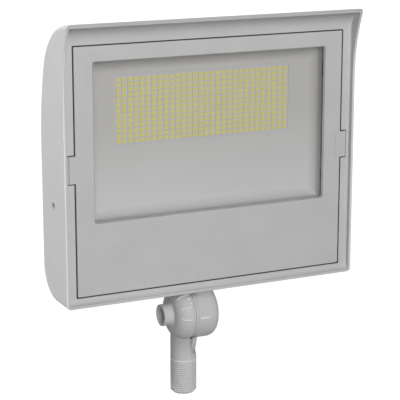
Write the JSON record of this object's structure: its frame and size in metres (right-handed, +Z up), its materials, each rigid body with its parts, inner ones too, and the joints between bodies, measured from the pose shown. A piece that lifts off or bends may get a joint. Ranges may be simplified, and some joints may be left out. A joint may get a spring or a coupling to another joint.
{
  "type": "led flood light",
  "caption": "Outdoor flood light with a hooded cast head, framed glass over an emitter board, finned back and a serrated tilting knuckle on a threaded pipe stem.",
  "frame": {"origin": "on the stem's axis at the top of its pipe thread, where the thread meets the plain stem", "axes": "+X to the right seen from the front, along the knuckle's hinge axis; +Y to the back, away from the light's aim; +Z up, along the stem towards the head"},
  "size_m": [0.25, 0.0635, 0.309],
  "materials": {
    "coated_casting": "matt light grey powder coat",
    "lens": "clear toughened glass",
    "grey_rubber": "matt",
    "silicone": "translucent grey",
    "spring_steel": "bright",
    "zinc_steel": "zinc plated",
    "tray_white": "matt white",
    "board_white": "white solder mask",
    "pad_grey": "soft matt",
    "phosphor": "pale yellow resin",
    "plug_white": "matt",
    "driver_metal": "plain sheet",
    "board_green": "glass fibre laminate",
    "coil_black": "matt",
    "surge_resin": "dark blue",
    "lead_red": "soft sheath",
    "lead_black": "soft sheath",
    "lead_white": "soft sheath"
  },
  "bodies": {
    "mount": {"knuckle_lower": "coated_casting", "knuckle_o_ring": "grey_rubber"},
    "head": {"housing": "coated_casting", "front_frame": "coated_casting", "frame_gasket": "grey_rubber", "lens_gasket": "silicone", "lens_glass": "lens", "lens_clips": "spring_steel", "lens_clip_screws": "zinc_steel", "frame_screws": "zinc_steel", "reflector_tray": "tray_white", "tray_screws": "zinc_steel", "led_board": "board_white", "led_board_screws": "zinc_steel", "thermal_pad": "pad_grey", "led_emitters": "phosphor", "led_connector": "plug_white", "driver_case": "driver_metal", "driver_lid": "driver_metal", "driver_lid_screws": "zinc_steel", "driver_mount_screws": "zinc_steel", "driver_board": "board_green", "driver_transformer": "coil_black", "driver_capacitors": "coil_black", "terminal_block": "plug_white", "surge_protector": "surge_resin", "ground_screw": "zinc_steel", "led_lead_positive": "lead_red", "led_lead_negative": "lead_black", "input_lead_line": "lead_black", "input_lead_neutral": "lead_white", "knuckle_upper": "coated_casting", "knuckle_gasket": "grey_rubber", "knuckle_mount_screws": "zinc_steel"},
    "clamp_washers": {"flat_washer": "zinc_steel", "lock_washer": "zinc_steel"},
    "clamp_bolt": {"clamp_bolt": "zinc_steel"}
  },
  "joints": [
    {"name": "head_tilt", "type": "hinge", "parent": "mount", "child": "head", "pos_m": [0.002, 0, 0.038], "axis": [1, 0, 0], "range_deg": [-90, 90]},
    {"name": "bolt_travel", "type": "slide", "parent": "head", "child": "clamp_washers", "axis": [-1, 0, 0], "range_m": [-0.00125, 0]},
    {"name": "bolt_turn", "type": "hinge", "parent": "clamp_washers", "child": "clamp_bolt", "pos_m": [0, 0, 0.038], "axis": [-1, 0, 0], "range_deg": [-360, 0]}
  ],
  "couplings": [
    {"joint": "bolt_travel", "follows": "bolt_turn", "m_per_rad": 0.00019894}
  ]
}
